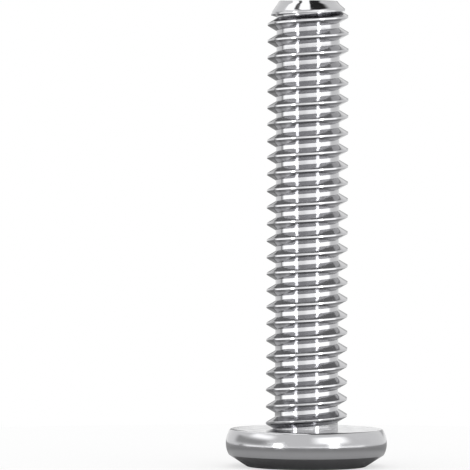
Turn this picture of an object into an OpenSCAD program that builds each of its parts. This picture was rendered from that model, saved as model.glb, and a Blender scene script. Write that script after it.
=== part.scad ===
// Furniture screw with a thin disc head, a hex socket and a full coarse thread.
// It stands on its head: the face of the head lies at z = 0 and the tip points up.
// All sizes are in millimetres, and angles are in degrees.

/* [Head] */
// Diameter across the widest line of the side
head_d = 12.33; // [10:0.01:20]
// Thickness from the face to the seat
head_t = 2.87; // [2.4:0.01:6]
// Radial width of the chamfer round the face
chamfer_w = 1.38; // [0.4:0.01:2.2]
// Height of the chamfer
chamfer_h = 0.89; // [0.3:0.01:1.4]
// How far the side draws in from its widest line to the chamfer
chamfer_inset = 0.235; // [0.1:0.005:0.6]
// How far the side draws in from its widest line to the seat
seat_inset = 0.315; // [0.1:0.005:0.8]
// Distance of the widest line from the seat
widest_drop = 1.12; // [0.5:0.01:1.6]
// Rounding of the edges of the head
edge_r = 0.1; // [0.02:0.01:0.2]

/* [Socket] */
// Width of the hexagon across its flats
socket_af = 4; // [2.5:0.1:5]
// Depth of the flats below the face
socket_depth = 2.2; // [1:0.05:2.6]
// How far the mouth is wider than the corners, all round
mouth_margin = 0.12; // [0.02:0.01:0.4]
// Depth of the mouth's countersink at the flats
mouth_h = 0.3; // [0.1:0.01:0.6]
// Slope of the conical floor below the horizontal
floor_slope = 15; // [5:1:30]

/* [Thread] */
// Length from the seat to the tip
shank_l = 32.75; // [12:0.05:60]
// Diameter over the crests
thread_d = 6.22; // [5:0.01:8]
// Rise of one turn
pitch = 1.27; // [0.8:0.01:1.5]
// Angle of a flank to the plane square to the axis
flank_angle = 30; // [25:1:35]
// How far the flare under the head reaches beyond the crests
neck_clear = 0.24; // [0.1:0.01:0.8]
// Height of that flare on the shank
neck_h = 0.1; // [0.05:0.01:0.6]

/* [Point] */
// How far the flat tip is inside the root, all round
tip_inset = 0.22; // [0.05:0.01:0.6]
// How far the lower edge of the conical point is inside the crests
point_inset = 0.24; // [0.05:0.01:0.5]
// Rise of that edge in one turn
point_lead = 0.67; // [0.3:0.01:0.9]
// Distance from the tip to the first full crest, at the +X side
first_crest = 1.2; // [1.1:0.01:2]
// Length of the incomplete thread at the tip, in turns
runout = 1.34; // [1.1:0.01:1.6]
// Last share of a turn, where the groove closes on its root
closing = 0.42; // [0.2:0.01:0.6]
// Where the crest begins to narrow to the point, before the incomplete thread
narrow_lead = 60; // [0:5:90]
// Over what angle it narrows
narrow_a = 240; // [90:5:300]

/* [Detail] */
// Steps in one turn of the thread
steps = 36; // [24:1:44]

/* [Hidden] */

// Facets round the turned surfaces, in a round corner and in half of the side
round_fn = 120;
corner_n = 4;
side_n = 9;
// Overlap of solids that are joined or cut, so that no two faces coincide
lap = 0.1;

head_r = head_d / 2;
chamfer_r = head_r - chamfer_inset;
face_r = chamfer_r - chamfer_w;
widest_z = head_t - widest_drop;

// Basic profile of the thread: a crest flat of an eighth of the pitch, a root flat of a quarter, and
// straight flanks between them.
crest_flat = pitch / 8;
root_flat = pitch / 4;
flank_h = (pitch - crest_flat - root_flat) / 2;
thread_r = thread_d / 2;
root_r = thread_r - flank_h / tan(flank_angle);
tip_z = head_t + shank_l;
tip_r = root_r - tip_inset;
point_r = thread_r - point_inset;
neck_r = thread_r + neck_clear;

// The helix is measured by its angle a, which grows towards the tip. At 0 the incomplete thread starts.
step_a = 360 / steps;
runout_a = 360 * runout;
closing_a = 360 * closing;
// Where the first ridge, which starts square, lies just inside the head
start_a = (first_crest - crest_flat / 2 - flank_h - shank_l - lap) * 360 / pitch;
last = ceil((runout_a - start_a) / step_a);

corner_af = socket_af / cos(30);

function mix(p, q, t) = p + (q - p) * t;
function smooth(t) = let (c = min(max(t, 0), 1)) c * c * (3 - 2 * c);
function unit(v) = v / norm(v);

// Points of an arc about c, from angle a0 to a1
function arc(c, r, a0, a1, n) = [for (i = [0:n]) let (a = mix(a0, a1, i / n)) c + r * [cos(a), sin(a)]];

// The corner at q, between the lines to p and s, rounded with radius r
function corner(p, q, s, r) =
    let (
        u = unit(p - q),
        v = unit(s - q),
        half = acos(u * v) / 2,
        c = q + unit(u + v) * r / sin(half),
        from = q + u * r / tan(half) - c,
        to = q + v * r / tan(half) - c,
        a0 = atan2(from.y, from.x),
        turn = atan2(to.y, to.x) - a0
    )
    arc(c, r, a0, a0 + turn - 360 * round(turn / 360), corner_n);

// One half of the side: an arc that is upright at the widest line and draws in by inset over the height h
function side_arc(inset, h, a_sign) =
    let (
        r = (h * h + inset * inset) / (2 * inset),
        a = a_sign * asin(h / r)
    )
    arc([head_r - r, widest_z], r, 0, a, side_n);

// Half section of the head, as radius and height. The flare round the shank ends just inside its root.
function head_outline() =
    let (
        upper = side_arc(seat_inset, widest_drop, 1),
        low = side_arc(chamfer_inset, widest_z - chamfer_h, -1),
        lower = [for (i = [side_n:-1:1]) low[i]],
        face_edge = [face_r, 0],
        chamfer_edge = lower[0],
        seat_edge = upper[side_n],
        neck_top = [root_r - lap, head_t + neck_h * (1 + lap / (neck_r - root_r))]
    )
    concat(
        [[0, 0]],
        corner([0, 0], face_edge, chamfer_edge, edge_r),
        corner(face_edge, chamfer_edge, lower[1], edge_r),
        [for (i = [1:side_n - 1]) lower[i]],
        [for (i = [0:side_n - 1]) upper[i]],
        corner(upper[side_n - 1], seat_edge, [0, head_t], edge_r),
        [[neck_r, head_t], neck_top, [0, neck_top.y]]
    );

module head_blank() {
    rotate_extrude($fn = round_fn)
        polygon(head_outline());
}

// Hexagon with a countersunk mouth and a shallow conical floor
module socket() {
    mouth_r = corner_af / 2 + mouth_margin;
    slope = (mouth_r - socket_af / 2) / mouth_h;
    floor_r = socket_af / 2 - lap;
    translate([0, 0, -lap])
        cylinder(d = corner_af, h = socket_depth + lap, $fn = 6);
    translate([0, 0, -lap])
        cylinder(r1 = mouth_r + lap * slope, r2 = floor_r, h = lap + mouth_h + lap / slope, $fn = round_fn);
    translate([0, 0, socket_depth - lap])
        cylinder(r = floor_r, h = lap, $fn = round_fn);
    translate([0, 0, socket_depth])
        cylinder(r1 = floor_r, r2 = 0, h = floor_r * tan(floor_slope), $fn = round_fn);
}

// Depth below the tip of the crest at helix angle a, which climbs by one pitch in a turn
function crest(a) = first_crest + pitch * (1 - a / 360);

// The groove at helix angle a, as [radius, depth] of its four edges: the crest below it, the two edges of
// its root, and the crest above it. Over the incomplete thread the root flat narrows, the upper edge
// climbs slower and becomes the lower edge of the point, and in the end all four meet.
function groove(a) =
    let (
        close = smooth((a - runout_a + closing_a) / closing_a),
        flat = root_flat * (1 - max(a, 0) / runout_a),
        below = [thread_r, crest(a) - crest_flat / 2],
        root_low = [root_r, below.y - flank_h],
        root_high = [root_r, root_low.y - flat],
        above_r = mix(thread_r, point_r, smooth((a + narrow_lead) / narrow_a)),
        above = [above_r, crest(min(a, 0)) - pitch + crest_flat / 2 - point_lead * max(a, 0) / 360]
    )
    [mix(below, root_low, close), root_low, mix(root_high, root_low, close), mix(above, root_low, close)];

// A point at helix angle a from its radius and its depth below the tip
function place(p, a) = [p.x * cos(a), p.x * sin(a), tip_z - p.y];

// Two triangles between two neighbouring steps of a strip: low and high edge here, then at the next step
function strip(low, high, next_low, next_high) = [[low, high, next_high], [low, next_high, next_low]];

// The threaded shank is one closed skin of helical strips. Its lower end is a disc inside the head, where
// the first ridge starts square, and its upper end is the conical point round the flat tip.
module threaded_shank() {
    angles = [for (k = [0:last]) runout_a - (last - k) * step_a];
    foot_z = groove(angles[0])[1].y + lap;
    edges = [for (a = angles, p = groove(a)) place(p, a)];
    foot = [for (k = [0:steps - 1]) place([root_r, foot_z], angles[k])];
    tip = [for (k = [0:steps - 1]) place([tip_r, 0], angles[k])];

    // Index of each edge of the groove at step k; the last step has one point for all four
    count = 4 * (last + 1);
    function root_low(k) = 4 * k + 1;
    function crest_high(k) = k == last ? root_low(k) : 4 * k;
    function root_high(k) = k == last ? root_low(k) : 4 * k + 2;
    function crest_low(k) = k == last ? root_low(k) : 4 * k + 3;
    function foot_i(k) = count + k % steps;
    function tip_i(k) = count + steps + k % steps;

    // The step where the last turn of the groove starts, and the step before the last
    top = last - steps;
    pre = last - 1;
    faces = concat(
        [for (k = [0:steps - 2]) each strip(foot_i(k), root_low(k), foot_i(k + 1), root_low(k + 1))],
        [for (k = [0:pre - 1]) each strip(root_low(k), root_high(k), root_low(k + 1), root_high(k + 1))],
        [for (k = [0:pre - 1]) each strip(root_high(k), crest_low(k), root_high(k + 1), crest_low(k + 1))],
        [for (k = [steps:pre - 1])
            each strip(crest_low(k - steps), crest_high(k), crest_low(k - steps + 1), crest_high(k + 1))],
        [for (k = [steps:pre - 1]) each strip(crest_high(k), root_low(k), crest_high(k + 1), root_low(k + 1))],
        [for (k = [top + 1:pre]) each strip(crest_low(k), tip_i(k), crest_low(k + 1), tip_i(k + 1))],
        // the foot's last strip, past the square start of the ridge, and that start
        [for (p = [[foot_i(steps - 1), foot_i(0)], [foot_i(0), root_low(0)], [root_low(0), root_high(0)],
            [root_high(0), root_low(steps)]]) [p[0], root_low(steps - 1), p[1]]],
        strip(root_high(0), root_low(steps), crest_low(0), crest_high(steps)),
        // the groove's end, where its four edges meet
        [[root_low(pre), root_high(pre), root_low(last)], [root_high(pre), crest_low(pre), root_low(last)],
            [crest_high(pre), root_low(pre), root_low(last)]],
        strip(crest_low(pre - steps), crest_high(pre), crest_low(top), root_low(last)),
        [[crest_low(top), root_low(last), crest_low(top + 1)]],
        strip(root_low(last), tip_i(top), crest_low(top + 1), tip_i(top + 1)),
        [[for (k = [0:steps - 1]) foot_i(k)], [for (k = [steps - 1:-1:0]) tip_i(k)]]
    );
    polyhedron(concat(edges, foot, tip), faces);
}

module screw() {
    color("gainsboro")
        difference() {
            union() {
                head_blank();
                threaded_shank();
            }
            socket();
        }
}

screw();
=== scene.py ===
"""A furniture screw that stands on its head: a thin chamfered disc with a hex socket, and a full
coarse thread.

The screw is one closed skin of surfaces worked out with numpy. It is polished and bright plated, so
nearly all of its look is what it mirrors: a white room with strip lamps and dark flags, over a floor
that is pale to the camera and grey in the mirror, with painted shade under the head. A darker colour
in a band under each crest is painted shade too.
"""

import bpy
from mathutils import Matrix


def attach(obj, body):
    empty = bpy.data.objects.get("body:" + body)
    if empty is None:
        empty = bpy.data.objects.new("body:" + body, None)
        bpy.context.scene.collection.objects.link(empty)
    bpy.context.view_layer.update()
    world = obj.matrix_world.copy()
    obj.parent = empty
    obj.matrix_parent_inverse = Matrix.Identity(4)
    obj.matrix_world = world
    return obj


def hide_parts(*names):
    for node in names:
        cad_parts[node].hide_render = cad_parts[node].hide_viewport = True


bl_info = {
    "name": "Socket Head Furniture Screw",
    "version": (1, 0, 0),
    "blender": (4, 5, 0),
    "location": "3D View > Sidebar > Screw",
    "description": "A bright plated furniture screw with a disc head, a hex socket and a rolled thread",
    "category": "Add Mesh",
}

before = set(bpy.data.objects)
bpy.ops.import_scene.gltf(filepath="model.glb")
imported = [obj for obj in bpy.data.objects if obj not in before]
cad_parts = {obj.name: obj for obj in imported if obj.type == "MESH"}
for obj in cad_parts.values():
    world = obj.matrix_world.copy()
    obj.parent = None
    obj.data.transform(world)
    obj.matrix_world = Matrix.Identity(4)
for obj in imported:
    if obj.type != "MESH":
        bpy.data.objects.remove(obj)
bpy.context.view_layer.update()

import math

import bmesh
import bpy
import numpy as np
from mathutils import Matrix, Vector

MM = 0.001
TURN = 2 * math.pi
# Steps of every surface in one turn, and the distance within which two points become one
COLUMNS = 144
WELD = 1e-8
# Share of a crest's flat, from its lower edge up, where one turn of the thread's skin meets the next
SEAM = 0.8
# The screw's materials in the order of their slots
FACE, SIDE, SOCKET, THREAD = range(4)
FLOOR_RADIUS = 55 * MM


def linear(hex_colour):
    """An sRGB colour such as #C8C8CA as linear red, green and blue."""
    srgb = [int(hex_colour[i : i + 2], 16) / 255 for i in (1, 3, 5)]
    return tuple(c / 12.92 if c <= 0.04045 else ((c + 0.055) / 1.055) ** 2.4 for c in srgb)


def length(name, description, millimetres):
    """A size that is written in millimetres and kept in metres."""
    return bpy.props.FloatProperty(
        name=name, description=description, default=millimetres * MM, min=0, precision=5,
        unit="LENGTH"
    )


def angle(name, description, degrees):
    """An angle that is written in degrees and kept in radians."""
    return bpy.props.FloatProperty(
        name=name, description=description, default=math.radians(degrees), subtype="ANGLE"
    )


class ScrewHeadSizes(bpy.types.PropertyGroup):
    """Sizes of the head and its socket"""

    diameter: length("Diameter", "Across the widest line of the side", 12.33)
    thickness: length("Thickness", "From the face to the seat", 2.87)
    chamfer_width: length("Chamfer width", "Radial width of the chamfer round the face", 1.38)
    chamfer_height: length("Chamfer height", "Height of the chamfer", 0.89)
    chamfer_inset: length(
        "Inset at the chamfer", "How far the side draws in from its widest line to the chamfer", 0.235
    )
    seat_inset: length(
        "Inset at the seat", "How far the side draws in from its widest line to the seat", 0.315
    )
    widest_drop: length("Widest line", "Distance of the widest line from the seat", 1.12)
    edge: length("Edge rounding", "Radius of the edges that tumbling and plating leave", 0.1)
    seat_edge: length("Seat edge", "Radius of the edge between the side and the seat", 0.2)
    socket_width: length("Socket width", "Across the flats of the hexagon", 4.0)
    socket_depth: length("Socket depth", "Depth of the flats below the face", 2.2)
    socket_corner: length("Socket corner", "Radius in the corners of the hexagon", 0.1)
    mouth_margin: length(
        "Mouth margin", "How far the mouth is wider than the hexagon's corners", 0.12
    )
    mouth_depth: length("Mouth depth", "Depth of the mouth's countersink at the flats", 0.3)
    floor_slope: angle("Floor slope", "Slope of the socket's conical floor", 15)


class ScrewThreadSizes(bpy.types.PropertyGroup):
    """Sizes of the thread, its run-out and the point"""

    shank: length("Shank", "From the seat to the tip", 32.75)
    diameter: length("Diameter", "Over the crests", 6.22)
    pitch: length("Pitch", "Rise of one turn", 1.27)
    flank_angle: angle("Flank angle", "Between a flank and the plane square to the axis", 30)
    crest_rounding: length(
        "Crest rounding", "How far the rounding reaches from the crest's upper edge", 0.03
    )
    crest_wear: length(
        "Crest wear", "How far the rounding reaches from the crest's lower edge", 0.03
    )
    # Painted shade: width of the dark band painted on the flank under each crest, in place of the dark
    # reflection there
    lap: length("Lap", "Width of the dark lap that rolling leaves on the flank under a crest", 0.26)
    root_rounding: length(
        "Root rounding", "How far the rounding reaches from each edge of the root", 0.012
    )
    tip_inset: length("Tip inset", "How far the flat tip is inside the root", 0.22)
    tip_rounding: length(
        "Tip rounding", "How far the rounding reaches from the rim of the flat tip", 0.04
    )
    point_inset: length(
        "Point inset", "How far the lower edge of the conical point is inside the crests", 0.24
    )
    point_lead: length("Point lead", "Rise of that edge in one turn", 0.67)
    point_drop: length("Point drop", "How far that edge sags in the run-out's first half turn", 0.17)
    point_land: length("Point land", "Height of the upright land under the conical point", 0.18)
    first_crest: length(
        "First crest", "From the tip to the first full crest, at the +X side", 1.2
    )
    runout: bpy.props.FloatProperty(
        name="Run-out", description="Length of the incomplete thread, in turns", default=1.34
    )
    closing: bpy.props.FloatProperty(
        name="Closing", description="Length over which the groove closes, in turns", default=0.42
    )
    narrow_lead: angle(
        "Narrowing lead", "Where the crest begins to narrow to the point, before the run-out", 60
    )
    narrow_angle: angle("Narrowing", "Over what angle the crest narrows to the point", 240)
    start: length("Start", "Rise over which the ridge grows out of the shank at the seat", 0.5)
    foot: length("Foot", "Height and width of the bevel between the shank and the seat", 0.012)


class ScrewFinish(bpy.types.PropertyGroup):
    """Colours and polish of the plating"""

    plating: bpy.props.FloatVectorProperty(
        name="Plating", description="Colour of bright nickel-like plating at a straight look",
        default=linear("#BEBEC0"), subtype="COLOR", min=0, max=1
    )
    # Painted shade: colour of the dark band painted under each crest, in place of the dark reflection
    # there
    lap: bpy.props.FloatVectorProperty(
        name="Lap", description="Colour of the thin plating in the lap under the crest",
        default=linear("#88888A"), subtype="COLOR", min=0, max=1
    )
    polish: bpy.props.FloatProperty(
        name="Polish", description="Roughness of the rolled and plated thread", default=0.09,
        min=0, max=1
    )
    side_polish: bpy.props.FloatProperty(
        name="Side polish", description="Roughness of the tumbled and plated side and seat",
        default=0.14, min=0, max=1
    )


class ScrewStudio(bpy.types.PropertyGroup):
    """Colours of the stage"""

    floor: bpy.props.FloatVectorProperty(
        name="Floor", description="Colour of the floor", default=linear("#FCFCFC"),
        subtype="COLOR", min=0, max=1
    )


def add(tree, kind, inputs=(), **settings):
    """Add a node of a kind with its settings, and give each named input a value or a link."""
    node = tree.nodes.new(kind)
    for name, value in settings.items():
        setattr(node, name, value)
    for name, value in dict(inputs).items():
        if isinstance(value, bpy.types.NodeSocket):
            tree.links.new(value, node.inputs[name])
        else:
            node.inputs[name].default_value = value
    return node


def unit(v):
    """Rows of v divided by their lengths; a row without a length stays as it is."""
    size = np.linalg.norm(v, axis=-1, keepdims=True)
    return v / np.where(size > 0, size, 1)


def smooth(t):
    """0 below 0, 1 above 1, and 3t^2 - 2t^3 between."""
    t = np.clip(t, 0, 1)
    return t * t * (3 - 2 * t)


def mix(p, q, t):
    """The point that lies the share t of the way from p to q."""
    return p + (q - p) * t


def arc(centre, radius, start, end, count):
    """Points centre + radius (cos a, sin a), with a from start to end in equal steps."""
    a = np.linspace(start, end, count)
    return np.array(centre) + radius * np.stack([np.cos(a), np.sin(a)], -1)


def corner(p, q, s, radius, count=5):
    """The corner q between the lines to p and s, rounded by the arc of that radius that touches
    both lines."""
    p, q, s = (np.array(x, float) for x in (p, q, s))
    u, v = unit(p - q), unit(s - q)
    half = math.acos(float(u @ v)) / 2
    centre = q + unit(u + v) * radius / math.sin(half)
    first = q + u * radius / math.tan(half) - centre
    last = q + v * radius / math.tan(half) - centre
    start = math.atan2(first[1], first[0])
    turn = math.atan2(last[1], last[0]) - start
    turn -= TURN * round(turn / TURN)
    return arc(centre, radius, start, start + turn, count)


def between(p, q, count):
    """Points on the straight line from p to q, with neither end."""
    t = np.linspace(0, 1, count + 2)[1:-1, None]
    return mix(np.array(p, float), np.array(q, float), t)


def around(radius, angles, height):
    """Points x = radius cos(angle), y = radius sin(angle), z = height."""
    return np.stack([radius * np.cos(angles), radius * np.sin(angles), height + 0 * angles], -1)


def turned(outline, angles):
    """The half section outline, as rows of radius and height, turned about Z."""
    return around(outline[:, 0, None], angles, outline[:, 1, None])


class Skin:
    """Grids of points that share borders. Each grid is rows of columns, with the column's angle
    growing to the left and the rows running so that the outside is on the right of the half
    section."""

    def __init__(self):
        self.points, self.quads, self.slots, self.marks = [], [], [], []
        self.count = 0

    def grid(self, co, slot, mark=0):
        """Add the points co[row, column] and a quad for each cell, in that material slot. The mark
        is a number for each point, or one for all, that a material can read."""
        rows, columns = co.shape[:2]
        index = self.count + np.arange(rows * columns).reshape(rows, columns)
        corners = (index[:-1, :-1], index[:-1, 1:], index[1:, 1:], index[1:, :-1])
        quads = np.stack(corners, -1).reshape(-1, 4)
        self.points.append(co.reshape(-1, 3))
        self.quads.append(quads)
        self.slots.append(np.full(len(quads), slot))
        self.marks.append((mark + np.zeros((rows, columns))).ravel())
        self.count += rows * columns

    def mesh(self, name):
        """One mesh of all the grids, with points on the same place made one. Cells that closed up
        are gone."""
        mesh = bpy.data.meshes.new(name)
        mesh.from_pydata(np.concatenate(self.points), [], np.concatenate(self.quads))
        mesh.polygons.foreach_set("material_index", np.concatenate(self.slots).astype(np.int32))
        # The marks become an attribute that the thread's material reads to paint shade in a band under
        # each crest
        lap = mesh.attributes.new("lap", "FLOAT", "POINT")
        lap.data.foreach_set("value", np.concatenate(self.marks))
        bm = bmesh.new()
        bm.from_mesh(mesh)
        bmesh.ops.remove_doubles(bm, verts=bm.verts, dist=WELD)
        bmesh.ops.dissolve_degenerate(bm, edges=bm.edges, dist=WELD)
        bm.to_mesh(mesh)
        bm.free()
        mesh.shade_smooth()
        self.shade_by_area(mesh)
        return mesh

    def shade_by_area(self, mesh):
        """Give each point the mean normal of its faces, weighted by their areas, so that the wide
        faces stay flat and only the narrow ones between them look round."""
        normal = np.empty(len(mesh.polygons) * 3)
        mesh.polygons.foreach_get("normal", normal)
        area = np.empty(len(mesh.polygons))
        mesh.polygons.foreach_get("area", area)
        corners = np.empty(len(mesh.polygons), int)
        mesh.polygons.foreach_get("loop_total", corners)
        point = np.empty(len(mesh.loops), int)
        mesh.loops.foreach_get("vertex_index", point)
        face = np.repeat(np.arange(len(mesh.polygons)), corners)
        weighted = (normal.reshape(-1, 3) * area[:, None])[face]
        total = [np.bincount(point, weighted[:, i], len(mesh.vertices)) for i in range(3)]
        mesh.normals_split_custom_set_from_vertices(unit(np.stack(total, -1)))


def mouth_radius(h):
    """Radius of the socket's mouth: half the width across the hexagon's corners and the margin."""
    return h.socket_width / 2 / math.cos(math.pi / 6) + h.mouth_margin


def head_outline(h, t):
    """Half section of the head from the socket's mouth round to the shank: a straight face, a
    chamfer, a side of two arcs that are upright at the widest line, and a flat seat that ends just
    outside the crests. It is given in two parts, which meet halfway up the chamfer."""
    radius = h.diameter / 2
    widest_z = h.thickness - h.widest_drop

    def side(inset, height, sign):
        r = (height * height + inset * inset) / (2 * inset)
        return arc([radius - r, widest_z], r, 0, sign * math.asin(height / r), 13)

    upper = side(h.seat_inset, h.widest_drop, 1)
    lower = side(h.chamfer_inset, widest_z - h.chamfer_height, -1)[::-1]
    mouth = [mouth_radius(h), 0]
    inside = [h.socket_width / 2, h.mouth_depth]
    face_edge = [lower[0][0] - h.chamfer_width, 0]
    neck = [t.diameter / 2 + h.edge, h.thickness]
    mouth_corner = corner(inside, mouth, face_edge, h.edge / 2)
    face_corner = corner(mouth, face_edge, lower[0], h.edge)
    chamfer_corner = corner(face_edge, lower[0], lower[1], h.edge)
    # The seat's edge takes the place of the last three points of the upper arc
    seat_corner = corner(upper[-4], upper[-1], neck, h.seat_edge)
    outline = np.concatenate([
        mouth_corner,
        between(mouth_corner[-1], face_corner[0], 8),
        face_corner,
        between(face_corner[-1], chamfer_corner[0], 6),
        chamfer_corner,
        lower[1:-1],
        upper[:-3],
        seat_corner,
        between(seat_corner[-1], neck, 8),
        [neck],
    ])
    # The first part is the one with the face's finish
    halfway = int(np.argmax(outline[:, 1] > h.chamfer_height / 2))
    return outline[:halfway], outline[halfway - 1 :]


def hexagon(angles, width, rounding):
    """Radius of a hexagon with that width across its flats, at each angle, with a corner at 0. It
    is width / 2 / cos(angle from the middle of the flat), less near a corner, where the rounding
    cuts it off."""
    apothem = width / 2
    from_flat = np.mod(angles, math.pi / 3) - math.pi / 6
    from_corner = math.pi / 6 - np.abs(from_flat)
    straight = apothem / np.cos(from_flat)
    centre = (apothem - rounding) / math.cos(math.pi / 6)
    across = centre * np.sin(from_corner)
    rounded_off = centre * np.cos(from_corner) + np.sqrt(np.maximum(rounding**2 - across**2, 0))
    return np.where(across < rounding / 2, np.minimum(straight, rounded_off), straight)


def socket_surface(h, angles, mouth):
    """The socket from the middle of its floor to the edge of its mouth. The floor is a cone, the
    wall a hexagon, and the mouth a cone that cuts the hexagon lower at its flats than at its
    corners."""
    wall = hexagon(angles, h.socket_width, h.socket_corner)
    floor_r = h.socket_width / 2
    slope = (mouth_radius(h) - floor_r) / h.mouth_depth
    fillet = h.edge * 1.5
    bevel_width, bevel_height = 0.02 * MM, 0.03 * MM
    rows = []
    for share in np.linspace(0, 1, 7):
        radius = share * (wall - fillet)
        drop = np.maximum(floor_r - radius, 0) * math.tan(h.floor_slope)
        rows.append((radius, h.socket_depth + drop))
    low = rows[-1][1]
    for a in np.linspace(0, math.pi / 2, 5)[1:]:
        rows.append((wall - fillet + fillet * math.sin(a), low - fillet * (1 - math.cos(a))))
    wall_low = low - fillet
    wall_top = (mouth[0] - wall) / slope + mouth[1]
    for share in np.linspace(0, 1, 5)[1:]:
        rows.append((wall, mix(wall_low, wall_top + bevel_height, share)))
    for share in np.linspace(0, 1, 5)[1:]:
        rows.append((mix(wall + bevel_width, mouth[0], share), mix(wall_top, mouth[1], share)))
    radius, height = (np.stack([row[i] + 0 * angles for row in rows]) for i in (0, 1))
    return around(radius, angles, height)


def thread_edges(a, t, seat_z, tip_z):
    """The four edges of the groove at helix angle a, as radius and height: the crest below it, the
    two edges of its root, and the crest above it. A crest climbs pitch * a / turn, and its radius
    grows from the root's just above the seat. Over the incomplete thread, where a runs from 0 to the
    end, the root narrows, the upper edge climbs slower and becomes the lower edge of the conical
    point, and in the end all four meet. The share by which they have met is given too."""
    crest_flat, root_flat = t.pitch / 8, t.pitch / 4
    flank = (t.pitch - crest_flat - root_flat) / 2
    crest_r = t.diameter / 2
    root_r = crest_r - flank / math.tan(t.flank_angle)
    end, closing = t.runout * TURN, t.closing * TURN

    def crest(angle):
        return tip_z - t.first_crest - t.pitch * (1 - angle / TURN)

    def radius_at(angle):
        return mix(root_r, crest_r, smooth((crest(angle) - seat_z + t.start / 4) / t.start))

    def point(radius, height):
        return np.stack([radius + 0 * a, height + 0 * a], -1)

    run = np.maximum(a, 0)
    close = smooth((a - end + closing) / closing)[:, None]
    below = point(radius_at(a), crest(a) + crest_flat / 2)
    root_low = point(root_r, crest(a) + crest_flat / 2 + flank)
    root_high = point(root_r, root_low[:, 1] + root_flat * (1 - run / end) ** 2)
    above_r = radius_at(a + TURN) - t.point_inset * smooth((a + t.narrow_lead) / t.narrow_angle)
    above_z = crest(np.minimum(a, 0)) + t.pitch - crest_flat / 2 + t.point_lead * run / TURN
    above = point(above_r, above_z - t.point_drop * smooth(2 * run / TURN))
    below, root_high, above = (mix(edge, root_low, close) for edge in (below, root_high, above))
    return below, root_low, root_high, above, close


def rounded(before, q, after, reach, count=4, share=0.45):
    """A bend at q between two neighbours, as points of the curve (1-t)^2 p + 2t(1-t) q + t^2 s,
    where p and s lie at most reach from q, and within that share of the way to the neighbour. All
    are rows of points, one for each step along the helix."""
    ends = []
    for other in (before, after):
        gap = np.linalg.norm(other - q, axis=-1, keepdims=True)
        ends.append(q + unit(other - q) * np.minimum(reach, share * gap))
    p, s = ends
    return [(1 - x) ** 2 * p + 2 * x * (1 - x) * q + x * x * s for x in np.linspace(0, 1, count)]


def cut_at(strip, height, columns):
    """Draw what lies below a height in a strip up to the section there, and give that section's
    radius for each column of a turn. It is where the column's last row below the height and its
    next row meet it, on the straight line between the two."""
    column = np.arange(1 - strip.shape[1], 1) % columns
    under = strip[..., 1] <= height
    below = np.sum(under, 0)
    crossing = np.flatnonzero((below > 0) & (below < len(strip)))
    lower, upper = (strip[below[crossing] - back, crossing] for back in (1, 0))
    share = (height - lower[:, 1]) / (upper[:, 1] - lower[:, 1])
    section = np.empty(columns)
    section[column[crossing]] = mix(lower[:, 0], upper[:, 0], share)
    drawn = np.broadcast_to(section[column], under.shape)[under]
    strip[under] = np.stack([drawn, np.full(len(drawn), height)], -1)
    return section


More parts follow.
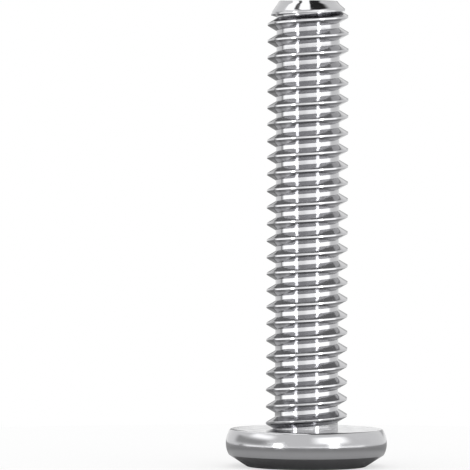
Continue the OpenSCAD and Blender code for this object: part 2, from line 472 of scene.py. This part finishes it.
def thread_surface(skin, h, t, columns):
    """Wind the groove as one strip along the helix. Its lower border is a line on the crest below,
    its upper border the same line one turn on. The strip is cut at the foot, whose radius at each
    angle and height are given back, and the last turn runs on over the conical point to the middle
    of the flat tip."""
    tip_z = h.thickness + t.shank
    turns = (t.shank + t.pitch) / t.pitch + t.runout + 1
    count = int(turns * columns)
    a = t.runout * TURN - TURN / columns * np.arange(count, -1, -1)

    low, root_low, root_high, high, close = thread_edges(a, t, h.thickness, tip_z)
    root_r = root_low[0, 0]
    previous_high = thread_edges(a - TURN, t, h.thickness, tip_z)[3]
    seam = mix(previous_high, low, SEAM)
    # Past the last full turn the upper neighbour is the point: a line on to the tip
    tip = np.array([root_r - t.tip_inset, tip_z])
    on_point = (root_r - tip[0]) / np.maximum(high[:, :1] - tip[0], 1e-9)
    line_z = tip[1] + (high[:, 1:] - tip[1]) * on_point
    first = count - columns
    # It meets the groove's end after one turn, so it starts lower than that line and ends on it
    share = np.clip((np.arange(count + 1) - first) / columns, 0, 1)[:, None]
    lowest = (root_low[-1, 1] - tip[1]) / (line_z[first, 0] - tip[1])
    sink = mix(lowest, 1, 1 - (1 - share) ** 6)
    guide = np.concatenate([0 * line_z + root_r, tip[1] + (line_z - tip[1]) * sink], -1)
    # The land under the cone grows over the first quarter of that turn, and closes with the groove
    landed = smooth(4 * share) * (1 - close)
    land = high + [0, t.point_land] * landed
    crest_above = mix(mix(high, guide, SEAM), mix(high, land, 0.5), landed)
    crest_above[:first] = seam[columns : columns + first]

    # Rows from the crest below to the crest above. Extra rows keep the flanks flat beside the
    # rounded edges, and end the band of painted shade sharply
    low_edge = rounded(seam, low, root_low, t.crest_rounding * (1 - close), share=0.9)
    root_edge = rounded(low, root_low, root_high, t.root_rounding)
    other_root_edge = rounded(root_low, root_high, high, t.root_rounding)
    # Where the flank is short, the band of painted shade takes 0.6 of it
    upper_flank = np.linalg.norm(root_high - high, axis=-1, keepdims=True)
    lap_edge = high + unit(root_high - high) * np.minimum(t.lap, 0.6 * upper_flank)
    high_edge = rounded(root_high, high, crest_above, t.crest_wear)
    flank_rows = [mix(low_edge[-1], root_edge[0], share) for share in (1 / 3, 2 / 3)]
    clear_rows = [mix(other_root_edge[-1], lap_edge, share) for share in (0.5, 0.92)]
    clear = [seam, *low_edge, *flank_rows, *root_edge, mix(root_low, root_high, 0.5)]
    clear += [*other_root_edge, *clear_rows]
    lapped = [lap_edge, *high_edge[:-1]]
    strip = np.stack([*clear, *lapped, high_edge[-1], crest_above])
    # The painted shade is as dark as the ridge is high, and fully dark from 0.7 of the full height
    lap = np.zeros(strip.shape[:2])
    ridge = (high[:, 0] - root_r) / (0.7 * (t.diameter / 2 - root_r))
    lap[len(clear) : len(clear) + len(lapped)] = smooth(ridge)
    foot_z = h.thickness + t.foot
    section = cut_at(strip, foot_z, columns)
    skin.grid(around(strip[..., 0], a, strip[..., 1]), THREAD, lap)

    guide = guide[first:]
    land_top = mix(guide, land[first:], landed[first:])
    rim = rounded(guide, tip + 0 * guide, [0, tip_z] + 0 * guide, t.tip_rounding)
    point = [crest_above[first:], land_top, mix(land_top, guide, 0.2), guide]
    point += [mix(guide, rim[0], 0.5), *rim]
    point += [mix(rim[-1], np.array([0, tip_z]), share) for share in (0.2, 0.6, 1)]
    point = np.stack(point)
    skin.grid(around(point[..., 0], a[first:], point[..., 1]), THREAD)
    return np.append(section, section[0]), foot_z


def plated_steel(name, colour, roughness, lay, spacing, depth, lap_colour=None):
    """Bright plating on steel: a metal with a clear mirror, broken by fine tool marks.

    lay is the direction of the marks: turned (rings about the axis), rolled (lines across the axis)
    or struck (no direction). spacing is the distance between marks and depth their height, both in
    metres. With the second colour, the band that the mesh marks under each crest is drawn in it:
    painted shade in place of the dark reflection there.
    """
    material = bpy.data.materials.new(name)
    material.use_nodes = True
    tree = material.node_tree
    shader = tree.nodes["Principled BSDF"]
    shader.inputs["Metallic"].default_value = 1
    where = add(tree, "ShaderNodeTexCoord").outputs["Object"]
    axes = add(tree, "ShaderNodeSeparateXYZ", {0: where}).outputs
    if lay == "turned":
        flat = add(tree, "ShaderNodeCombineXYZ", {"X": axes["X"], "Y": axes["Y"]}).outputs[0]
        across = add(tree, "ShaderNodeVectorMath", {0: flat}, operation="LENGTH").outputs["Value"]
    else:
        across = axes["Z"]
    # Marks: noise that runs fast across the marks and slowly along them
    along = 1.0 if lay == "struck" else 0.08
    drift = add(
        tree, "ShaderNodeVectorMath", {0: where, "Scale": along / spacing}, operation="SCALE"
    ).outputs[0]
    fast = add(
        tree, "ShaderNodeMath", {0: across, 1: 1 / spacing}, operation="MULTIPLY"
    ).outputs[0]
    fast = add(tree, "ShaderNodeCombineXYZ", {"Z": fast}).outputs[0]
    marks_in = add(tree, "ShaderNodeVectorMath", {0: drift, 1: fast}, operation="ADD").outputs[0]
    marks = add(
        tree, "ShaderNodeTexNoise",
        {"Vector": marks_in, "Scale": 1, "Detail": 3, "Roughness": 0.6}, noise_dimensions="3D"
    ).outputs["Fac"]
    # Handling: a slow cloud, 0.9 mm across, that makes the mirror a little clearer or duller
    cloud = add(
        tree, "ShaderNodeTexNoise",
        {"Vector": where, "Scale": 1 / (0.9 * MM), "Detail": 4, "Roughness": 0.55}
    ).outputs["Fac"]
    rough = add(
        tree, "ShaderNodeMapRange",
        {
            "Value": cloud,
            "From Min": 0.3,
            "From Max": 0.7,
            "To Min": roughness * 0.75,
            "To Max": roughness * 1.35,
        }
    ).outputs["Result"]
    bump = add(tree, "ShaderNodeBump", {"Height": marks, "Distance": depth, "Strength": 1})
    tree.links.new(rough, shader.inputs["Roughness"])
    tree.links.new(bump.outputs["Normal"], shader.inputs["Normal"])
    if lap_colour is None:
        shader.inputs["Base Color"].default_value = (*colour, 1)
        return material
    # Painted shade: the band that the mesh marks under the crest takes the darker colour, in place of
    # the dark reflection there
    lap = add(tree, "ShaderNodeAttribute", attribute_name="lap").outputs["Fac"]
    plating = add(
        tree, "ShaderNodeMix", {"Factor": lap, "A": (*colour, 1), "B": (*lap_colour, 1)},
        data_type="RGBA"
    )
    tree.links.new(plating.outputs["Result"], shader.inputs["Base Color"])
    return material


class SCREW_OT_screw(bpy.types.Operator):
    """Make the screw: the socket and head turned about the axis, and the thread wound to the tip"""

    bl_idname = "furniture_screw.screw"
    bl_label = "Screw"

    def execute(self, context):
        h, t = context.scene.screw_head, context.scene.screw_thread
        # The groove ends on a column, so the run-out is a whole number of steps
        t.runout = round(t.runout * COLUMNS) / COLUMNS
        angles = np.linspace(0, TURN, COLUMNS + 1) + t.runout * TURN
        face, side = head_outline(h, t)
        skin = Skin()
        skin.grid(socket_surface(h, angles, face[0]), SOCKET)
        skin.grid(turned(face, angles), FACE)
        section, foot_z = thread_surface(skin, h, t, COLUMNS)
        bevel = (around(section + t.foot, angles, h.thickness), around(section, angles, foot_z))
        skin.grid(np.stack([*turned(side, angles), *bevel]), SIDE)
        screw = bpy.data.objects.new("socket_screw", skin.mesh("socket_screw"))
        context.scene.collection.objects.link(screw)
        for material in self.plating(context.scene.screw_finish):
            screw.data.materials.append(material)
        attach(screw, "root")
        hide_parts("screw")
        return {"FINISHED"}

    def plating(self, finish):
        """The same plating over four ways of working the steel, in the order of the slots. Real
        marks are finer than the render can show, so they are drawn 0.12 to 0.3 mm apart."""
        colour, polish = finish.plating, finish.polish
        return (
            # The face mirrors in faint rings
            plated_steel(
                "Turned plated face", colour, polish * 1.25, "turned", 0.12 * MM, 0.0015 * MM
            ),
            # The side and the seat have hardly any marks, and lamps on them have soft borders
            plated_steel(
                "Tumbled plated side", colour, finish.side_polish, "rolled", 0.3 * MM, 0.0006 * MM
            ),
            # The socket is dull and a little uneven where the punch struck it
            plated_steel(
                "Struck plated socket", colour, polish * 1.7, "struck", 0.25 * MM, 0.003 * MM
            ),
            # The thread is the clearest mirror, in fine lines round the axis, and it has painted shade:
            # a darker colour in a band under its crest, in place of the dark reflection there
            plated_steel(
                "Rolled plated thread", colour, polish, "rolled", 0.12 * MM, 0.0012 * MM, finish.lap
            ),
        )


class SCREW_OT_stage(bpy.types.Operator):
    """Make the floor, the white room with its lamps and flags, and the camera"""

    bl_idname = "furniture_screw.stage"
    bl_label = "Stage"

    def execute(self, context):
        scene = context.scene
        self.floor(scene)
        self.room(scene)
        self.camera(scene)
        scene.view_settings.view_transform = "Standard"
        scene.cycles.max_bounces = 16
        scene.cycles.glossy_bounces = 10
        return {"FINISHED"}

    def floor(self, scene):
        """A round floor under the screw, of rings of equal width, a hair below height 0. Its
        columns run the other way round, so that it faces up."""
        rings, steps, below = 6, 48, 0.002 * MM
        radius = np.linspace(0, 1, rings + 1) * FLOOR_RADIUS
        outline = np.stack([radius, 0 * radius - below], -1)
        skin = Skin()
        skin.grid(turned(outline, np.linspace(0, TURN, steps + 1))[:, ::-1], 0)
        floor = bpy.data.objects.new("floor", skin.mesh("floor"))
        scene.collection.objects.link(floor)
        floor.data.materials.append(self.white_board(scene.screw_studio.floor))

    def white_board(self, colour):
        """Matt white board: nearly white to the eye, with a faint shadow round the head. The metal
        mirrors it as a grey table top with painted shade: darkest under the head, with a painted
        lighter ring round it."""
        material = bpy.data.materials.new("Matt white floor")
        material.use_nodes = True
        tree = material.node_tree
        shader = tree.nodes["Principled BSDF"]
        shader.inputs["Roughness"].default_value = 0.9
        shader.inputs["Specular IOR Level"].default_value = 0
        ray = add(tree, "ShaderNodeLightPath").outputs
        place = add(tree, "ShaderNodeTexCoord").outputs["Object"]
        radius = add(tree, "ShaderNodeVectorMath", {0: place}, operation="LENGTH").outputs["Value"]
        # Painted shade in what the metal mirrors: darker under the head, rising to a painted lighter
        # ring round it, and an even grey further off
        painted_head_shade = {"From Min": 5.6 * MM, "From Max": 6.4 * MM, "To Min": 0.28, "To Max": 0.6}
        far_off = {"From Min": 7 * MM, "From Max": 12 * MM, "To Min": 0.0, "To Max": 1.0}
        near, far = (
            add(
                tree, "ShaderNodeMapRange", {"Value": radius, **borders},
                interpolation_type="SMOOTHSTEP"
            ).outputs["Result"]
            for borders in (painted_head_shade, far_off)
        )
        mirrored = add(
            tree, "ShaderNodeMix", {"Factor": far, "A": near, "B": 0.38}, data_type="FLOAT"
        ).outputs["Result"]
        board = add(
            tree, "ShaderNodeMix",
            {"Factor": ray["Is Glossy Ray"], "A": (*colour, 1), "B": mirrored}, data_type="RGBA"
        ).outputs["Result"]
        tree.links.new(board, shader.inputs["Base Color"])
        # To the camera, and through glass, a share of 0.6 of it is plain white
        glow = add(tree, "ShaderNodeEmission", {"Color": (1, 1, 1, 1), "Strength": 1.0}).outputs[0]
        seen = add(
            tree, "ShaderNodeMath",
            {0: ray["Is Camera Ray"], 1: ray["Is Transmission Ray"]}, operation="MAXIMUM"
        ).outputs[0]
        seen = add(tree, "ShaderNodeMath", {0: seen, 1: 0.6}, operation="MULTIPLY").outputs[0]
        both = add(tree, "ShaderNodeMixShader", {0: seen, 1: shader.outputs[0], 2: glow})
        tree.links.new(both.outputs[0], tree.nodes["Material Output"].inputs["Surface"])
        return material

    def room(self, scene):
        """The room is white for the floor and the camera. What polished metal mirrors of it has
        strip lamps left and right of the camera, and a lamp overhead with dark flags beside it.

        A panel on the walls is a window in azimuth, 0 at the camera and 90 at +X, and in elevation,
        in degrees. A panel on the ceiling is a window in x and in the way toward the camera, for a
        ceiling at height 1.
        """
        world = bpy.data.worlds.new("White room")
        scene.world = world
        world.use_nodes = True
        tree = world.node_tree
        tree.nodes.clear()
        place = add(tree, "ShaderNodeTexCoord").outputs["Generated"]
        way = add(tree, "ShaderNodeSeparateXYZ", {0: place}).outputs
        toward = add(
            tree, "ShaderNodeMath", {0: way["Y"], 1: -1.0}, operation="MULTIPLY"
        ).outputs[0]
        # Kept above 0, because the ceiling's windows divide by it
        height = add(
            tree, "ShaderNodeMath", {0: way["Z"], 1: 0.01}, operation="MAXIMUM"
        ).outputs[0]
        azimuth = add(
            tree, "ShaderNodeMath", {0: way["X"], 1: toward}, operation="ARCTAN2"
        ).outputs[0]
        elevation = add(tree, "ShaderNodeMath", {0: way["Z"]}, operation="ARCSINE").outputs[0]
        wall = [
            add(tree, "ShaderNodeMath", {0: radians}, operation="DEGREES").outputs[0]
            for radians in (azimuth, elevation)
        ]
        ceiling = [
            add(tree, "ShaderNodeMath", {0: across, 1: height}, operation="DIVIDE").outputs[0]
            for across in (way["X"], toward)
        ]
        # Each panel: from and to across, from and to upward or forward, softness of the borders
        # across and up, light. A later panel covers an earlier one, and where none is the light is 1
        panels = (
            # the walls, their bright foot near the horizon, and the dark low behind on the left
            (wall, -105, 105, 5, 58, 6, 6, 0.95),
            (wall, -103, 88, -12, 1.3, 1.5, 1, 1.35),
            (wall, -98, -47, -12, 1.3, 3, 1, 2.0),
            (wall, -4, 88, -12, 1.3, 24, 1, 1.75),
            (wall, 34, 88, -12, 1.3, 12, 1, 2.1),
            (wall, -113, -104, -12, 1.3, 1.5, 1, 0.5),
            (wall, -184, -108, -40, -3, 6, 2, 0.3),
            # soft lamps left and right, and the grey board under the left one
            (wall, -98, -56, 26, 42, 18, 9, 2.0),
            (wall, -125, -60, 4, 21, 16, 9, 0.45),
            (wall, 14, 62, 14, 40, 22, 12, 2.2),
            # the ceiling, its lamp, a flag beside it, the pale part past that, a flag across it
            (wall, -180, 180, 57, 91, 4, 4, 0.35),
            (ceiling, -0.74, 0.1, -3, 0.42, 0.06, 0.06, 2.0),
            (ceiling, 0.03, 0.6, -3, 0.42, 0.03, 0.03, 0.03),
            (ceiling, 0.49, 3, -3, 0.42, 0.16, 0.06, 1.0),
            (ceiling, -0.443, -0.2975, -3, 0.42, 0.03, 0.03, 0.1),
            # the two strip lamps
            (wall, -47, -37, -12, 12, 2, 2, 9),
            (wall, 34.5, 44.5, -12, 22, 2, 2, 9),
            # grey boards behind, for the flanks at the sides of the thread
            (wall, -184, -171, 3, 18, 3, 4, 0.3),
            (wall, -171, -160, 17, 40, 4, 4, 0.6),
            (wall, 150, 176, 5, 17, 4, 4, 0.55),
        )
        light = 1.0
        for axes, *window, soft_across, soft_up, strength in panels:
            inside = []
            for axis, low, high, soft in zip(
                axes, window[::2], window[1::2], (soft_across, soft_up)
            ):
                middle, half = (low + high) / 2, (high - low) / 2
                off = add(tree, "ShaderNodeMath", {0: axis, 1: middle}, operation="SUBTRACT")
                far = add(tree, "ShaderNodeMath", {0: off.outputs[0]}, operation="ABSOLUTE")
                within = add(
                    tree, "ShaderNodeMapRange",
                    {
                        "Value": far.outputs[0],
                        "From Min": half + soft / 2,
                        "From Max": half - soft / 2,
                    },
                    interpolation_type="SMOOTHSTEP"
                )
                inside.append(within.outputs["Result"])
            cover = add(
                tree, "ShaderNodeMath", {0: inside[0], 1: inside[1]}, operation="MULTIPLY"
            ).outputs[0]
            light = add(
                tree, "ShaderNodeMix", {"Factor": cover, "A": light, "B": float(strength)},
                data_type="FLOAT"
            ).outputs["Result"]
        # Rays through glass see the plain white room, as the camera does
        ray = add(tree, "ShaderNodeLightPath").outputs
        mirrored = add(tree, "ShaderNodeBackground", {"Color": (1, 1, 1, 1), "Strength": light})
        white = add(tree, "ShaderNodeBackground", {"Color": (1, 1, 1, 1), "Strength": 1.0})
        both = add(
            tree, "ShaderNodeMixShader",
            {0: ray["Is Glossy Ray"], 1: white.outputs[0], 2: mirrored.outputs[0]}
        )
        add(tree, "ShaderNodeOutputWorld", {"Surface": both.outputs[0]})

    def camera(self, scene):
        """A long lens level with the thread, that looks a little down. Angles are in degrees."""
        distance, eye_height, aside = 410 * MM, 27.2 * MM, -5.53 * MM
        look_down, roll = 1.329, 0.25
        focal_px, frame_px = 5360, 470
        camera = bpy.data.objects.new("camera", bpy.data.cameras.new("camera"))
        camera.data.sensor_width = 36
        camera.data.lens = focal_px * camera.data.sensor_width / frame_px
        camera.data.clip_start = 0.01
        camera.data.clip_end = 50
        camera.matrix_world = (
            Matrix.Translation(Vector((aside, -distance, eye_height)))
            @ Matrix.Rotation(math.radians(90 - look_down), 4, "X")
            @ Matrix.Rotation(math.radians(roll), 4, "Z")
        )
        scene.collection.objects.link(camera)
        scene.camera = camera


class SCREW_PT_panel(bpy.types.Panel):
    """The screw's sizes, finish and studio, and a button for each operator"""

    bl_idname = "SCREW_PT_panel"
    bl_label = "Furniture screw"
    bl_space_type = "VIEW_3D"
    bl_region_type = "UI"
    bl_category = "Screw"

    def draw(self, context):
        for group in GROUPS:
            values = getattr(context.scene, group)
            box = self.layout.box()
            for name in values.__annotations__:
                box.prop(values, name)
        self.layout.operator("furniture_screw.screw")
        self.layout.operator("furniture_screw.stage")


GROUPS = {
    "screw_head": ScrewHeadSizes,
    "screw_thread": ScrewThreadSizes,
    "screw_finish": ScrewFinish,
    "screw_studio": ScrewStudio,
}
CLASSES = (*GROUPS.values(), SCREW_OT_screw, SCREW_OT_stage, SCREW_PT_panel)


def register():
    for cls in CLASSES:
        bpy.utils.register_class(cls)
    for name, group in GROUPS.items():
        setattr(bpy.types.Scene, name, bpy.props.PointerProperty(type=group))


def unregister():
    for name in GROUPS:
        delattr(bpy.types.Scene, name)
    for cls in reversed(CLASSES):
        bpy.utils.unregister_class(cls)


def main():
    register()
    bpy.ops.furniture_screw.screw()
    bpy.ops.furniture_screw.stage()


if __name__ == "__main__":
    main()
